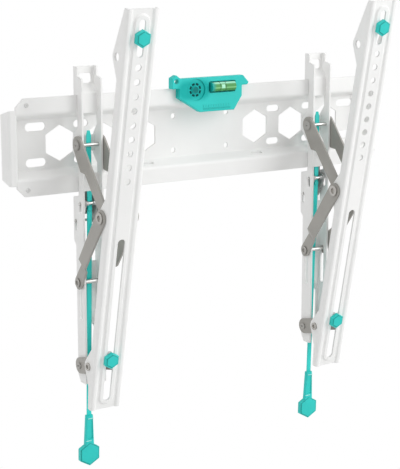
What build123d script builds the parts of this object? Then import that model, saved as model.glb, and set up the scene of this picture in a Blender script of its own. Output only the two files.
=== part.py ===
from build123d import *
import os
from math import asin, atan2, cos, radians, sin, tan

# Tilting television wall bracket: a pressed wall plate, two uprights that hook over its top band,
# and two rails for the television, each carried by a pair of folding links and a pair of short links.
# The frame: X along the plate, +Y into the wall, +Z up, origin at the plate's centre on the wall.
# A depth is a distance in front of the wall, so it is a negative Y.
os.makedirs("parts", exist_ok=True)

# Sheet and fits, in millimetres
SHEET = 2.0  # plate, uprights and links
RAIL_SHEET = 1.8
PIN_CLEARANCE = 0.05  # round a running pin
SLIDE_GAP = 0.6  # between links, uprights and rails that move past each other
SEAT_GAP = 0.05  # an upright's saddle above the band that carries it
SLOT_CLEARANCE = 0.4  # either side of a pin that rides in a slot

# Wall plate
PLATE_LENGTH = 468.0
PLATE_HEIGHT = 99.0
PLATE_DEPTH = 18.0
WEB_HEIGHT = 54.0  # the flat that lies on the wall
BAND_HEIGHT = 17.0  # the upper and lower bands that the uprights hook on
END_RIM = 8.0
END_RIM_HEIGHT = 76.0
END_WALL_HEIGHT = 66.0  # at the wall
BAND_CHAMFER = 8.5
BEND_RADIUS = 3.0
FIXING_FROM_END = 37.0  # long slots near the ends
FIXING_Z = 18.3
FIXING_SLOT = 23.0
FIXING_WIDTH = 8.8
HEX_FIRST_X = 72.3
HEX_TO_FIXING = 27.5  # from the last opening to the long slots
HEX_CORNERS = 37.5
HEX_CORNER_RADIUS = 2.0
SHORT_SLOT = 17.0
SHORT_WIDTH = 7.4
ROUND_HOLE_X = 33.8
ROUND_HOLE = 5.8
TIE_SLOT_X = 70.0
TIE_SLOT = 15.0
STOP_FROM_END = 20.0
STOP_DIAMETER = 5.0
STOP_HEIGHT = 1.2

# Uprights
BRACKET_X = 145.6  # each upright's distance from the plate's centre
UPRIGHT_WIDTH = 24.0
UPRIGHT_TOP = 78.0
UPRIGHT_BOTTOM = -253.0
UPRIGHT_FRONT = 28.0
HEAD_FRONT = 19.0  # the shallower head above the front step
HEAD_STEP_Z = 68.5
WEB_BACK = 11.3
EAR_BACK = 7.0  # the flanges reach further back in the recess and at the latch
HOOK_TIP_Z = 37.0
HOOK_PLAY = 0.5
HEAD_WINDOW_WIDTH = 15.0
HEAD_WINDOW_TOP = 71.0
HEAD_WINDOW_BOTTOM = 60.5
SADDLE_TOP = 59.5  # where the web bends forward over the top band
SADDLE_KNEE = 51.5  # where it bends down in front of the band
SADDLE_FOOT = 31.0
RECESS_TOP = 3.5
RECESS_BOTTOM = -9.0
LATCH_EAR_TOP = -56.0
LATCH_EAR_BOTTOM = -106.5
LOWER_WEB_TOP = -125.0
CORD_ARCH_TOP = -191.0
CORD_ARCH_WIDTH = 14.0
BRIDGE_TOP = -31.0
BRIDGE_BOTTOM = -49.0
CORNER_RADIUS = 1.5

# Linkage, given for the photographed tilt
PIVOT_DEPTH = 22.0  # upper pivot, in front of the wall
SLOT_DEPTH = 19.6
UPPER_PIVOT_Z = -1.3
UPPER_LINK = 85.8
LOWER_LINK = 97.1
LINK_ANGLE = 40.3  # upper link from the vertical
TILT = 11.7  # rail from the vertical
SLOT_TRAVEL = 33.0
SLOT_SPARE = 4.0  # below the pin's lowest place
FOOT_PIVOT_DEPTH = 19.0
FOOT_PIVOT_Z = -234.0
FOOT_PLAY = 2.2  # round the foot link's rail rivet, where the closed linkage is open
UPPER_PIN_RADIUS = 1.9
SLOT_PIN_RADIUS = 2.3
KNEE_RIVET_RADIUS = 3.5
FOOT_RIVET_RADIUS = 2.5
LINK_END = 8.5
LINK_HEAD = 9.5  # upper link, at the upright
SLOT_END = 7.2
SLOT_WAIST = 5.4  # past the joggle, where the lower link narrows
SLOT_WAIST_SHIFT = 1.1  # towards the wall side
JOGGLE_BROAD = 7.7  # before the joggle
SHOULDER_AT = 24.0  # along the upper link, on its wall side
SHOULDER_RUN = 6.4
SHOULDER_REACH = 12.5
LINK_WAIST = 6.0  # wall side of the upper link past the shoulder
JOGGLE_START = 68.0  # along the lower link from the knee
JOGGLE_END = 76.0
HEAD_THICKNESS = 1.6
UPPER_PIN_HEAD = 5.2
SLOT_PIN_HEAD = 4.6
FOOT_PIN_HEAD = 3.4
FOOT_RIVET_HEAD = 4.2
KNEE_HEAD = 6.0
EYELET_SHARE = 0.5  # open part of a rivet head

# Rails
RAIL_LENGTH = 425.0
RAIL_WIDTH = 35.0
RAIL_FLANGE = 9.5
RAIL_BEND = 1.8  # along the middle of the sheet
RAIL_END_FLANGE = 6.0
EAR_REACH = 12.8  # ear holes behind the front face
EAR_SHIFT = 1.6  # middle ear below the middle of the rail
EAR_SPACING = 165.0  # from the middle ear to each end ear
EAR_RADIUS = 8.0
EAR_FOOT = 25.0
TOP_EAR_FOOT = 46.0  # the top ear slopes from close to the rail's end
TOP_EAR_HOLE = 8.4
GROOVE_DEPTH = 1.6
EDGE_BAND = 4.7
TRACK_WIDTH = 18.4  # at its foot
TRACK_END = 4.6  # from the rail's ends
HOLE_DIAMETER = 6.8
HOLE_PITCH = 14.5
HOLE_COUNT = 9
HOLE_FIRST = 57.0  # from the rail's top
TOP_SLOT_START = 10.0
TOP_SLOT_END = 47.0
TOP_SLOT_WIDTH = 7.0
LOW_SLOT_START = 234.0
LOW_SLOT_FROM_FOOT = 9.5
LOW_SLOT_WIDTH = 8.4

# Hexagonal thumb screws
KNOB_CORNERS = 17.8
KNOB_THICKNESS = 4.6
KNOB_GAP = 0.3  # behind the knob's head
KNOB_EDGE = 0.9  # bevel round its face
STUD_DIAMETER = 6.0
STUD_LENGTH = 8.4
NUT_SIZE = 10.6
NUT_THICKNESS = 4.0
TOP_KNOB_AT = 28.0  # from the rail's top
LOW_KNOB_AT = 367.8

# Release strip, latch and handle
STRIP_DEPTH = 19.35  # in front of the wall, where it passes the lower band
STRIP_KNEE_Z = -55.0  # below this it leans towards the wall
STRIP_LEAN = 2.1  # degrees
STRIP_BEND = 150.0
STRIP_WIDTH = 5.2
STRIP_THICKNESS = 1.3
STRIP_TOP = 13.0
STRIP_BOTTOM = -305.0
LATCH_TRAVEL = 8.0
LATCH_WIDTH = 16.0
LATCH_PIN_RADIUS = 1.5
LATCH_PIN_STAND = 1.6  # its ends outside the upright
LATCH_PIN_DEPTH = 21.5
LATCH_PIN_Z = -62.0
GUIDE_PIN_DEPTH = 11.6
GUIDE_PIN_Z = -81.0
CLAW_OVERLAP = 4.5  # behind the lower band
STRIP_RIVET_Z = -68.0
STRIP_RIVET_RADIUS = 1.6
SLEEVE_WIDTH = 8.2
SLEEVE_DEPTH = 4.8
SLEEVE_TOP = -293.5
SLEEVE_BOTTOM = -327.0
PANEL_DEPTH = 0.7  # of the recess in the sleeve
TAG_CORNERS = 26.2
TAG_THICKNESS = 5.0

# Spirit level that rests on the top band
LEVEL_THICKNESS = 7.0
LEVEL_GAP = 0.2
LEVEL_LEFT = -40.3
LEVEL_RIGHT = 39.5
LEVEL_TOP = 60.0
LEVEL_BOTTOM = 23.4
EYE_X = -43.3  # hole in the level's ear
EYE_Z = 57.2
EYE_RADIUS = 2.4
VIAL_X = 14.0
VIAL_Z = 49.3
VIAL_LENGTH = 30.0
VIAL_DIAMETER = 9.8
DIAL_X = -19.6
DIAL_Z = 47.3
DIAL_RADIUS = 11.8
HUB_RADIUS = 4.3
VENT_RING = 6.0

# Positions worked out from the driving sizes
band_back = PLATE_DEPTH - SHEET
band_top = PLATE_HEIGHT / 2
band_foot = band_top - BAND_HEIGHT
half_width = UPRIGHT_WIDTH / 2
link_inner = half_width + SLIDE_GAP
link_outer = link_inner + SHEET
rail_inner = RAIL_WIDTH / 2 - RAIL_SHEET
rail_outer = RAIL_WIDTH / 2
knee_inner = rail_outer + SLIDE_GAP / 2
knee_outer = knee_inner + SHEET
tilt = radians(TILT)
link_angle = radians(LINK_ANGLE)

fixing_x = PLATE_LENGTH / 2 - FIXING_FROM_END
hex_pitch = (fixing_x - HEX_FIRST_X - HEX_TO_FIXING) / 2
stop_x = PLATE_LENGTH / 2 - STOP_FROM_END
low_slot_end = RAIL_LENGTH - LOW_SLOT_FROM_FOOT
bridge_depth = STRIP_DEPTH + STRIP_THICKNESS / 2 + SLIDE_GAP

upper_pivot = (-PIVOT_DEPTH, UPPER_PIVOT_Z)
knee = (
    -PIVOT_DEPTH - UPPER_LINK * sin(link_angle),
    UPPER_PIVOT_Z - UPPER_LINK * cos(link_angle),
)
lower_angle = asin((-knee[0] - SLOT_DEPTH) / LOWER_LINK)
slot_pivot = (-SLOT_DEPTH, knee[1] - LOWER_LINK * cos(lower_angle))
foot_rivet = (knee[0] + EAR_SPACING * sin(tilt), knee[1] - EAR_SPACING * cos(tilt))
foot_pivot = (-FOOT_PIVOT_DEPTH, FOOT_PIVOT_Z)

# The rail's own planes: its face with the upward direction along the rail, and its side
rail_front = Vector(0, -cos(tilt), -sin(tilt))
rail_up = Vector(0, -sin(tilt), cos(tilt))
rail_origin = Vector(0, knee[0], knee[1]) + rail_front * EAR_REACH + rail_up * EAR_SHIFT
rail_face = Plane(origin=rail_origin, x_dir=(1, 0, 0), z_dir=rail_front)
lean = radians(STRIP_LEAN)
strip_face = Plane(
    origin=(0, -STRIP_DEPTH, STRIP_KNEE_Z), x_dir=(1, 0, 0), z_dir=(0, -cos(lean), -sin(lean))
)


def rail_side(x):
    """The plane of a rail flange: local x goes behind the face, local y up the rail."""
    return Plane(origin=rail_origin + Vector(x, 0, 0), x_dir=-rail_front, z_dir=(1, 0, 0))


def on_rail(down):
    """Height on the rail's face of a point a distance down from the rail's top."""
    return RAIL_LENGTH / 2 - down


def side_plane(x):
    """A plane across X, with local x along Y and local y along Z."""
    return Plane.YZ.offset(x)


def sleeve_plane(z):
    """A plane across the leaning strip at a height, looking down along it."""
    return Plane(
        origin=strip_face.from_local_coords((0, z - STRIP_KNEE_Z, 0)),
        x_dir=(1, 0, 0),
        z_dir=-strip_face.y_dir,
    )


# Wall plate: a tray whose web lies on the wall and whose bands stand in front of it
with BuildPart() as wall_plate:
    with BuildSketch(Plane.YZ) as section:
        with BuildLine():
            FilletPolyline(
                (-PLATE_DEPTH + SHEET / 2, -band_top),
                (-PLATE_DEPTH + SHEET / 2, -band_foot),
                (-SHEET / 2, -WEB_HEIGHT / 2),
                (-SHEET / 2, WEB_HEIGHT / 2),
                (-PLATE_DEPTH + SHEET / 2, band_foot),
                (-PLATE_DEPTH + SHEET / 2, band_top),
                radius=BEND_RADIUS,
            )
        trace(line_width=SHEET)
    extrude(amount=PLATE_LENGTH / 2 - END_RIM, both=True)
    # Sloped corners at the ends of the bands
    with BuildSketch(Plane.XZ) as corners:
        for sx in (-1, 1):
            for sz in (-1, 1):
                x = sx * (PLATE_LENGTH / 2 - END_RIM)
                z = sz * band_top
                with BuildLine():
                    Polyline(
                        (x, z), (x - sx * BAND_CHAMFER, z), (x, z - sz * BAND_CHAMFER), close=True
                    )
                make_face()
    extrude(amount=PLATE_DEPTH * 2, both=True, mode=Mode.SUBTRACT)
    # End rims with walls that reach back to the wall, and the tray's own end walls
    for sx in (-1, 1):
        inner = sx * (PLATE_LENGTH / 2 - END_RIM)
        outer = sx * (PLATE_LENGTH / 2 - SHEET / 2)
        with BuildSketch(Plane.XY) as rim:
            with BuildLine():
                FilletPolyline(
                    (inner - sx * SHEET / 2, 0),
                    (inner - sx * SHEET / 2, -PLATE_DEPTH + SHEET / 2),
                    (outer, -PLATE_DEPTH + SHEET / 2),
                    (outer, 0),
                    radius=SHEET,
                )
            trace(line_width=SHEET)
        end_cap = extrude(amount=END_RIM_HEIGHT / 2, both=True, mode=Mode.PRIVATE)
        with BuildSketch(side_plane(-sx * SHEET)) as profile:
            with BuildLine():
                Polyline(
                    (0, -END_WALL_HEIGHT / 2),
                    (-PLATE_DEPTH, -END_RIM_HEIGHT / 2),
                    (-PLATE_DEPTH, END_RIM_HEIGHT / 2),
                    (0, END_WALL_HEIGHT / 2),
                    close=True,
                )
            make_face()
        envelope = extrude(amount=sx * PLATE_LENGTH, mode=Mode.PRIVATE)
        add(end_cap & envelope)
    # Openings in the web
    with BuildSketch(Plane.XZ) as openings:
        for sx in (-1, 1):
            for index in range(3):
                with Locations((sx * (HEX_FIRST_X + index * hex_pitch), 0)):
                    RegularPolygon(HEX_CORNERS / 2, 6, rotation=30)
        fillet(openings.vertices(), HEX_CORNER_RADIUS)
        for sx in (-1, 1):
            for sz in (-1, 1):
                with Locations((sx * fixing_x, sz * FIXING_Z)):
                    SlotOverall(FIXING_SLOT, FIXING_WIDTH)
                for index in range(2):
                    x = HEX_FIRST_X + (index + 0.5) * hex_pitch
                    with Locations((sx * x, sz * FIXING_Z)):
                        SlotOverall(SHORT_SLOT, SHORT_WIDTH)
                with Locations((sx * ROUND_HOLE_X, sz * FIXING_Z)):
                    Circle(ROUND_HOLE / 2)
    extrude(amount=2 * SHEET, both=True, mode=Mode.SUBTRACT)
    # Tie slots in the lower shelf
    with BuildSketch(Plane.XY.offset(-WEB_HEIGHT / 2)) as ties:
        with Locations((-TIE_SLOT_X, -PLATE_DEPTH / 2), (TIE_SLOT_X, -PLATE_DEPTH / 2)):
            SlotOverall(TIE_SLOT, PLATE_DEPTH / 4)
    extrude(amount=-3 * SHEET, mode=Mode.SUBTRACT)
    # Pressed stops that keep an upright from running off the end
    with BuildSketch(Plane.XZ.offset(PLATE_DEPTH)) as stops:
        stop_z = band_top - BAND_HEIGHT * 0.4
        with GridLocations(2 * stop_x, 2 * stop_z, 2, 2):
            Circle(STOP_DIAMETER / 2)
    extrude(amount=STOP_HEIGHT, taper=20)

# Spirit level: a moulded body with a lip behind the band, a vial and a round boss
level_back = PLATE_DEPTH + LEVEL_GAP
level_front = level_back + LEVEL_THICKNESS
ledge_z = band_top + SEAT_GAP
with BuildPart() as level_body:
    with BuildSketch(Plane.XZ.offset(level_back)) as outline:
        with BuildLine():
            FilletPolyline(
                (LEVEL_LEFT - 8.7, ledge_z),
                (LEVEL_LEFT - 8.6, LEVEL_TOP + 1),
                (LEVEL_LEFT - 3, LEVEL_TOP + 4),
                (LEVEL_LEFT + 2, LEVEL_TOP),
                (LEVEL_RIGHT + 1.5, LEVEL_TOP),
                (LEVEL_RIGHT + 8.9, LEVEL_TOP - 8),
                (LEVEL_RIGHT + 6.7, ledge_z),
                (LEVEL_RIGHT, ledge_z),
                (LEVEL_RIGHT, LEVEL_BOTTOM + 14.7),
                (LEVEL_RIGHT - 10, LEVEL_BOTTOM),
                (LEVEL_LEFT + 26.5, LEVEL_BOTTOM),
                (LEVEL_LEFT, LEVEL_BOTTOM + 16),
                (LEVEL_LEFT, ledge_z),
                radius=0.8,
                close=True,
            )
        make_face()
        with Locations((EYE_X, EYE_Z)):
            Circle(EYE_RADIUS, mode=Mode.SUBTRACT)
    extrude(amount=LEVEL_THICKNESS)
    chamfer(level_body.faces().sort_by(Axis.Y)[0].edges(), 0.7)
    # The ledge over the band's top edge and the lip behind it
    with BuildSketch(Plane.YZ) as hook:
        with BuildLine():
            Polyline(
                (-level_back - 1, ledge_z),
                (-level_back - 1, LEVEL_TOP - 4),
                (-band_back + 2.2, LEVEL_TOP - 5.5),
                (-band_back + 2.2, band_top - 5),
                (-band_back + LEVEL_GAP, band_top - 5),
                (-band_back + LEVEL_GAP, ledge_z),
                close=True,
            )
        make_face()
    extrude(amount=LEVEL_RIGHT - 1, both=True)
    # Recess for the vial and the dished boss with its ring of slots
    with BuildSketch(Plane.XZ.offset(level_front)) as window:
        with Locations((VIAL_X, VIAL_Z)):
            RectangleRounded(VIAL_LENGTH + 4, VIAL_DIAMETER + 2.4, 2)
    extrude(amount=-LEVEL_THICKNESS * 0.75, mode=Mode.SUBTRACT)
    with BuildSketch(Plane.XZ.offset(level_front)) as dish:
        with Locations((DIAL_X, DIAL_Z)):
            Circle(DIAL_RADIUS)
    extrude(amount=-1.2, mode=Mode.SUBTRACT)
    with BuildSketch(Plane.XZ.offset(level_front - 1.2)) as vents:
        with Locations((DIAL_X, DIAL_Z)):
            with PolarLocations(VENT_RING, 8, start_angle=22.5):
                SlotOverall(3.2, 1.8, rotation=90)
    extrude(amount=-3, mode=Mode.SUBTRACT)

with BuildPart() as level_hub:
    with BuildSketch(Plane.XZ.offset(level_front - 1.2)) as hub:
        with Locations((DIAL_X, DIAL_Z)):
            Circle(HUB_RADIUS)
    extrude(amount=1.0)
    chamfer(level_hub.faces().sort_by(Axis.Y)[0].edges(), 0.4)

vial_seat = level_front - LEVEL_THICKNESS * 0.75 + VIAL_DIAMETER / 2
with BuildPart() as level_vial:
    with BuildSketch(side_plane(VIAL_X - VIAL_LENGTH / 2)) as tube:
        with Locations((-vial_seat, VIAL_Z)):
            Circle(VIAL_DIAMETER / 2)
    extrude(amount=VIAL_LENGTH)
    with BuildSketch(side_plane(VIAL_X - 3.5)) as bubble_room:
        with Locations((-vial_seat, VIAL_Z + VIAL_DIAMETER * 0.2)):
            Circle(VIAL_DIAMETER * 0.22)
    extrude(amount=4.4, mode=Mode.SUBTRACT)

with BuildPart() as level_bubble:
    with BuildSketch(side_plane(VIAL_X - 3.5)) as bubble:
        with Locations((-vial_seat, VIAL_Z + VIAL_DIAMETER * 0.2)):
            Circle(VIAL_DIAMETER * 0.22)
    extrude(amount=4.4)

# Upright: a folded channel, open to the front, whose flanges carry every pivot
slot_low = slot_pivot[1] - SLOT_TRAVEL
notch_top = band_top + SEAT_GAP
notch_foot = HOOK_TIP_Z - CORNER_RADIUS
with BuildPart() as upright:
    for x in (-half_width, half_width - SHEET):
        with BuildSketch(side_plane(x)) as flange:
            with BuildLine():
                FilletPolyline(
                    (-WEB_BACK, UPRIGHT_TOP),
                    (-HEAD_FRONT, UPRIGHT_TOP),
                    (-HEAD_FRONT, HEAD_STEP_Z),
                    (-UPRIGHT_FRONT, HEAD_STEP_Z - 2.5),
                    (-UPRIGHT_FRONT, UPRIGHT_BOTTOM),
                    (-WEB_BACK - 5, UPRIGHT_BOTTOM),
                    (-WEB_BACK, UPRIGHT_BOTTOM + 8),
                    (-WEB_BACK, LATCH_EAR_BOTTOM),
                    (-EAR_BACK, LATCH_EAR_BOTTOM + 5),
                    (-EAR_BACK, LATCH_EAR_TOP),
                    (-PLATE_DEPTH - HOOK_PLAY, -band_top - 4),
                    (-PLATE_DEPTH - HOOK_PLAY, RECESS_BOTTOM - 12),
                    (-EAR_BACK, RECESS_BOTTOM),
                    (-EAR_BACK, RECESS_TOP),
                    (-PLATE_DEPTH - HOOK_PLAY, RECESS_TOP + 15),
                    (-PLATE_DEPTH - HOOK_PLAY, HOOK_TIP_Z),
                    (-WEB_BACK, HOOK_TIP_Z),
                    radius=CORNER_RADIUS,
                    close=True,
                )
            make_face()
            # The square notch that hooks over the top band
            with Locations((-(PLATE_DEPTH + band_back) / 2, (notch_foot + notch_top) / 2)):
                Rectangle(SHEET + 2 * HOOK_PLAY, notch_top - notch_foot, mode=Mode.SUBTRACT)
        extrude(amount=SHEET)
    # The saddle: the web stands back at the head, bends over the top band and hangs before it
    web_middle = WEB_BACK + SHEET / 2
    saddle_middle = PLATE_DEPTH + HOOK_PLAY + SHEET / 2
    with BuildSketch(side_plane(-half_width)) as saddle:
        with BuildLine():
            FilletPolyline(
                (-web_middle, UPRIGHT_TOP),
                (-web_middle, SADDLE_TOP),
                (-saddle_middle, SADDLE_KNEE),
                (-saddle_middle, SADDLE_FOOT),
                radius=BEND_RADIUS,
            )
        trace(line_width=SHEET)
    extrude(amount=UPRIGHT_WIDTH)
    with BuildSketch(Plane.XZ.offset(WEB_BACK - SHEET)) as head_window:
        with Locations((0, (HEAD_WINDOW_TOP + HEAD_WINDOW_BOTTOM) / 2)):
            RectangleRounded(HEAD_WINDOW_WIDTH, HEAD_WINDOW_TOP - HEAD_WINDOW_BOTTOM, 3)
    extrude(amount=3 * SHEET, mode=Mode.SUBTRACT)
    # The web in the recess and down the lower half
    with BuildSketch(Plane.XZ.offset(WEB_BACK)) as web:
        for top, bottom in (
            (RECESS_TOP + 4, RECESS_BOTTOM),
            (LOWER_WEB_TOP, UPRIGHT_BOTTOM + 8),
        ):
            with Locations((0, (top + bottom) / 2)):
                Rectangle(UPRIGHT_WIDTH, top - bottom)
        arch_radius = CORD_ARCH_WIDTH / 2
        with Locations((0, CORD_ARCH_TOP - arch_radius)):
            Circle(arch_radius, mode=Mode.SUBTRACT)
        arch_height = CORD_ARCH_TOP - arch_radius - UPRIGHT_BOTTOM
        with Locations((0, UPRIGHT_BOTTOM + arch_height / 2)):
            Rectangle(CORD_ARCH_WIDTH, arch_height, mode=Mode.SUBTRACT)
    extrude(amount=SHEET)
    # The bridge before the lower band and the release strip
    with BuildSketch(Plane.XZ.offset(bridge_depth)) as bridge:
        with Locations((0, (BRIDGE_TOP + BRIDGE_BOTTOM) / 2)):
            Rectangle(UPRIGHT_WIDTH, BRIDGE_TOP - BRIDGE_BOTTOM)
    extrude(amount=SHEET)
    # Pivot holes, the slots of the lower links and the latch's slots, through both flanges
    with BuildSketch(side_plane(-UPRIGHT_WIDTH)) as pivots:
        with Locations(upper_pivot):
            Circle(UPPER_PIN_RADIUS + PIN_CLEARANCE)
        with Locations(foot_pivot):
            Circle(FOOT_RIVET_RADIUS + PIN_CLEARANCE)
        with Locations((-SLOT_DEPTH, (slot_pivot[1] + slot_low - SLOT_SPARE) / 2)):
            SlotCenterToCenter(
                SLOT_TRAVEL + SLOT_SPARE + 1,
                2 * (SLOT_PIN_RADIUS + SLOT_CLEARANCE),
                rotation=90,
            )
        for depth, z in ((LATCH_PIN_DEPTH, LATCH_PIN_Z), (GUIDE_PIN_DEPTH, GUIDE_PIN_Z)):
            with Locations((-depth, z - LATCH_TRAVEL / 2)):
                SlotCenterToCenter(
                    LATCH_TRAVEL + 0.4, 2 * (LATCH_PIN_RADIUS + SLOT_CLEARANCE), rotation=90
                )
    extrude(amount=2 * UPRIGHT_WIDTH, mode=Mode.SUBTRACT)


def cross_pin(point, radius, head_radius, eyelet):
    """A pin across the upright with a low head, open at its middle, outside each pair of links."""
    with BuildPart() as pin:
        with BuildSketch(side_plane(-pin_reach)) as shaft:
            with Locations(point):
                Circle(radius)
        extrude(amount=2 * pin_reach)
        for x in (-pin_reach - HEAD_THICKNESS, pin_reach):
            with BuildSketch(side_plane(x)) as head:
                with Locations(point):
                    Circle(head_radius)
            extrude(amount=HEAD_THICKNESS)
        rims = pin.edges().filter_by(GeomType.CIRCLE).sort_by(Axis.X)
        chamfer([rims[0], rims[-1]], HEAD_THICKNESS / 3)
        for side in (-1, 1):
            with BuildSketch(side_plane(side * (pin_reach + HEAD_THICKNESS))) as opening:
                with Locations(point):
                    Circle(eyelet)
            extrude(amount=-side * HEAD_THICKNESS * 0.6, mode=Mode.SUBTRACT)
    return pin


pin_reach = link_outer + SLIDE_GAP / 2
upper_pin = cross_pin(upper_pivot, UPPER_PIN_RADIUS, UPPER_PIN_HEAD, UPPER_PIN_RADIUS / 2)
slot_pin = cross_pin(slot_pivot, SLOT_PIN_RADIUS, SLOT_PIN_HEAD, SLOT_PIN_HEAD * EYELET_SHARE)
foot_pin = cross_pin(foot_pivot, FOOT_RIVET_RADIUS, FOOT_PIN_HEAD, FOOT_RIVET_RADIUS / 2)

# Upper links: broad at the upright, with a shoulder on the wall side, then narrow to the knee
link_plane = Plane(
    origin=(0, upper_pivot[0], upper_pivot[1]),
    x_dir=(0, -sin(link_angle), -cos(link_angle)),
    z_dir=(1, 0, 0),
)
with BuildPart() as upper_links:
    for x in (-link_outer, link_inner):
        with BuildSketch(link_plane.offset(x)) as blade:
            with BuildLine():
                Polyline(
                    (0, LINK_HEAD),
                    (SHOULDER_AT, SHOULDER_REACH),
                    (SHOULDER_AT + SHOULDER_RUN, LINK_WAIST),
                    (UPPER_LINK, LINK_WAIST),
                    (UPPER_LINK, -LINK_END),
                    (0, -LINK_HEAD),
                    close=True,
                )
            make_face()
            Circle(LINK_HEAD)
            with Locations((UPPER_LINK, 0)):
                Circle(LINK_END)
            Circle(UPPER_PIN_RADIUS + PIN_CLEARANCE, mode=Mode.SUBTRACT)
            with Locations((UPPER_LINK, 0)):
                Circle(KNEE_RIVET_RADIUS + PIN_CLEARANCE, mode=Mode.SUBTRACT)
        extrude(amount=SHEET)

# Lower links: outside the rail at the knee, joggled in to run beside the upright at the slot
slot_run = atan2(slot_pivot[1] - knee[1], slot_pivot[0] - knee[0])
lower_plane = Plane(
    origin=(0, knee[0], knee[1]),
    x_dir=(0, cos(slot_run), sin(slot_run)),
    z_dir=(0, -sin(slot_run), cos(slot_run)),
)
mid_outer = knee_inner + SHEET / 2
mid_inner = link_inner + SHEET / 2
joggle_y = knee[0] + JOGGLE_START * cos(slot_run)
joggle_z = knee[1] + JOGGLE_START * sin(slot_run)
waist = (joggle_y - SLOT_WAIST_SHIFT * sin(slot_run), joggle_z + SLOT_WAIST_SHIFT * cos(slot_run))
with BuildSketch() as broad_end:
    for (y, z), radius in ((knee, LINK_END), ((joggle_y, joggle_z), JOGGLE_BROAD)):
        with Locations((y, z)):
            Circle(radius)
    make_hull()
with BuildSketch() as narrow_end:
    for (y, z), radius in ((waist, SLOT_WAIST), (slot_pivot, SLOT_END)):
        with Locations((y, z)):
            Circle(radius)
    make_hull()
with BuildPart() as lower_links:
    for side in (-1, 1):
        with BuildSketch(lower_plane) as bend:
            with BuildLine():
                FilletPolyline(
                    (-2 * LINK_END, side * mid_outer),
                    (JOGGLE_START, side * mid_outer),
                    (JOGGLE_END, side * mid_inner),
                    (LOWER_LINK + 2 * LINK_END, side * mid_inner),
                    radius=SHEET,
                )
            trace(line_width=SHEET)
        extrude(amount=2 * LINK_END, both=True)
    with BuildSketch(side_plane(-UPRIGHT_WIDTH)) as blade:
        add(broad_end.sketch)
        add(narrow_end.sketch)
        with Locations(knee):
            Circle(KNEE_RIVET_RADIUS + PIN_CLEARANCE, mode=Mode.SUBTRACT)
        with Locations(slot_pivot):
            Circle(SLOT_PIN_RADIUS + PIN_CLEARANCE, mode=Mode.SUBTRACT)
    extrude(amount=2 * UPRIGHT_WIDTH, mode=Mode.INTERSECT)

# Knee rivets: each holds an upper link, a rail ear and a lower link
with BuildPart() as knee_rivets:
    for side in (-1, 1):
        for start, end, radius in (
            (link_inner - HEAD_THICKNESS, link_inner - PIN_CLEARANCE, KNEE_HEAD),
            (link_inner - PIN_CLEARANCE, knee_outer + PIN_CLEARANCE, KNEE_RIVET_RADIUS),
            (knee_outer + PIN_CLEARANCE, knee_outer + HEAD_THICKNESS, KNEE_HEAD),
        ):
            with BuildSketch(side_plane(side * start)) as disc:
                with Locations(knee):
                    Circle(radius)
            extrude(amount=side * (end - start))
        with BuildSketch(side_plane(side * (knee_outer + HEAD_THICKNESS))) as eyelet:
            with Locations(knee):
                Circle(KNEE_HEAD * EYELET_SHARE)
        extrude(amount=-side * HEAD_THICKNESS, mode=Mode.SUBTRACT)

# Foot links: from the upright's foot pivot to the rail's lower ear, inside the rail
with BuildPart() as foot_links:
    for x in (-link_outer, link_inner):
        with BuildSketch(side_plane(x)) as blade:
            for y, z in (foot_pivot, foot_rivet):
                with Locations((y, z)):
                    Circle(LINK_END)
            make_hull()
        extrude(amount=SHEET)
    with BuildSketch(side_plane(-UPRIGHT_WIDTH)) as bores:
        with Locations(foot_pivot):
            Circle(FOOT_RIVET_RADIUS + PIN_CLEARANCE)
        with Locations(foot_rivet):
            Circle(FOOT_RIVET_RADIUS + FOOT_PLAY)
    extrude(amount=2 * UPRIGHT_WIDTH, mode=Mode.SUBTRACT)

with BuildPart() as foot_rivets:
    for side in (-1, 1):
        for start, end, radius in (
            (link_inner - HEAD_THICKNESS, link_inner - SLIDE_GAP / 2, LINK_END - 1),
            (link_inner - SLIDE_GAP / 2, rail_outer + PIN_CLEARANCE, FOOT_RIVET_RADIUS),
            (rail_outer + PIN_CLEARANCE, rail_outer + HEAD_THICKNESS, FOOT_RIVET_HEAD),
        ):
            with BuildSketch(side_plane(side * start)) as disc:
                with Locations(foot_rivet):
                    Circle(radius)
            extrude(amount=side * (end - start))
        with BuildSketch(side_plane(side * (rail_outer + HEAD_THICKNESS))) as eyelet:
            with Locations(foot_rivet):
                Circle(FOOT_RIVET_HEAD * EYELET_SHARE)
        extrude(amount=-side * HEAD_THICKNESS, mode=Mode.SUBTRACT)

# Rail: a channel with two long grooves in its face, a raised track and three ears on each flange
groove_edge = rail_outer - EDGE_BAND
face_mid = -RAIL_SHEET / 2
flange_mid = rail_outer - RAIL_SHEET / 2
ears = (EAR_SPACING - EAR_SHIFT, -EAR_SHIFT, -EAR_SPACING - EAR_SHIFT)
ear_holes = (TOP_EAR_HOLE / 2, KNEE_RIVET_RADIUS + PIN_CLEARANCE, FOOT_RIVET_RADIUS + PIN_CLEARANCE)
ear_outlines = []
for foot_above in (TOP_EAR_FOOT, EAR_FOOT, EAR_FOOT):
    with BuildSketch() as ear:
        for n, y, radius in (
            (EAR_REACH, 0, EAR_RADIUS),
            (RAIL_FLANGE / 2, foot_above, RAIL_FLANGE / 4),
            (RAIL_FLANGE / 2, -EAR_FOOT, RAIL_FLANGE / 4),
        ):
            with Locations((n, y)):
                Circle(radius)
        make_hull()
    ear_outlines.append(ear.sketch)
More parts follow.
